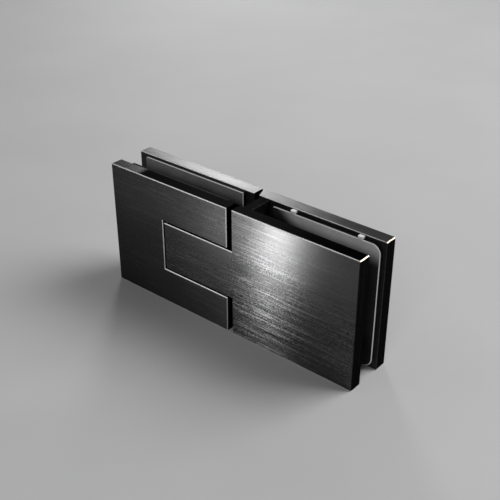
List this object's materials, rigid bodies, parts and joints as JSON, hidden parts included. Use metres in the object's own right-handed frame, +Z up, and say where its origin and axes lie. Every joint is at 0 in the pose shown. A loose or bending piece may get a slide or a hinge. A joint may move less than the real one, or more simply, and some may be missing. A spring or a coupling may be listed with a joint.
{
  "type": "glass door hinge",
  "caption": "Double-acting hinge that clamps two glass panels edge to edge: notched plates on one, tongued plates on the other, turning on a pin inside the tongue.",
  "frame": {"origin": "middle of the lower edges, under the hinge", "axes": "+X along the hinge from the fixed half to the door half, +Y through the glass from the front to the back, +Z up along the pivot pin"},
  "size_m": [0.133, 0.024, 0.06],
  "materials": {
    "satin_steel": "brushed along the length, polished chamfers",
    "black_metal": "matt black coating",
    "gasket": "smooth grey sheet with pale cut edges",
    "bush_plastic": "natural acetal",
    "sleeve_plastic": "natural nylon",
    "screw_steel": "turned stainless steel",
    "spring_steel": "oiled spring wire",
    "pin_steel": "ground and hardened"
  },
  "bodies": {
    "fixed_half": {"clamp_screw_fixed_lower": "screw_steel", "clamp_screw_fixed_upper": "screw_steel", "fixed_gasket_back": "gasket", "fixed_gasket_front": "gasket", "fixed_plate_back": "satin_steel", "fixed_plate_front": "satin_steel", "pivot_block_lower": "black_metal", "pivot_block_upper": "black_metal", "pivot_pin": "pin_steel", "pivot_screw_lower_left": "screw_steel", "pivot_screw_lower_right": "screw_steel", "pivot_screw_upper_left": "screw_steel", "pivot_screw_upper_right": "screw_steel", "screw_sleeve_fixed_lower": "sleeve_plastic", "screw_sleeve_fixed_upper": "sleeve_plastic"},
    "door_half": {"bush_lower": "bush_plastic", "bush_upper": "bush_plastic", "clamp_screw_door_lower": "screw_steel", "clamp_screw_door_upper": "screw_steel", "detent_spring": "spring_steel", "door_gasket_back": "gasket", "door_gasket_front": "gasket", "door_plate_back": "satin_steel", "door_plate_front": "satin_steel", "knuckle_body": "black_metal", "knuckle_screw": "screw_steel", "screw_sleeve_door_lower": "sleeve_plastic", "screw_sleeve_door_upper": "sleeve_plastic", "spine_dowel_lower": "pin_steel", "spine_dowel_upper": "pin_steel", "spring_plug": "screw_steel"},
    "plunger": {"detent_plunger": "pin_steel"}
  },
  "joints": [
    {"name": "door_swing", "type": "hinge", "parent": "fixed_half", "child": "door_half", "pos_m": [-0.0185, 0, 0.03], "axis": [0, 0, 1], "range_deg": [-90, 90]},
    {"name": "plunger_slide", "type": "slide", "parent": "door_half", "child": "plunger", "axis": [1, 0, 0], "range_m": [-0.00045, 0]}
  ]
}
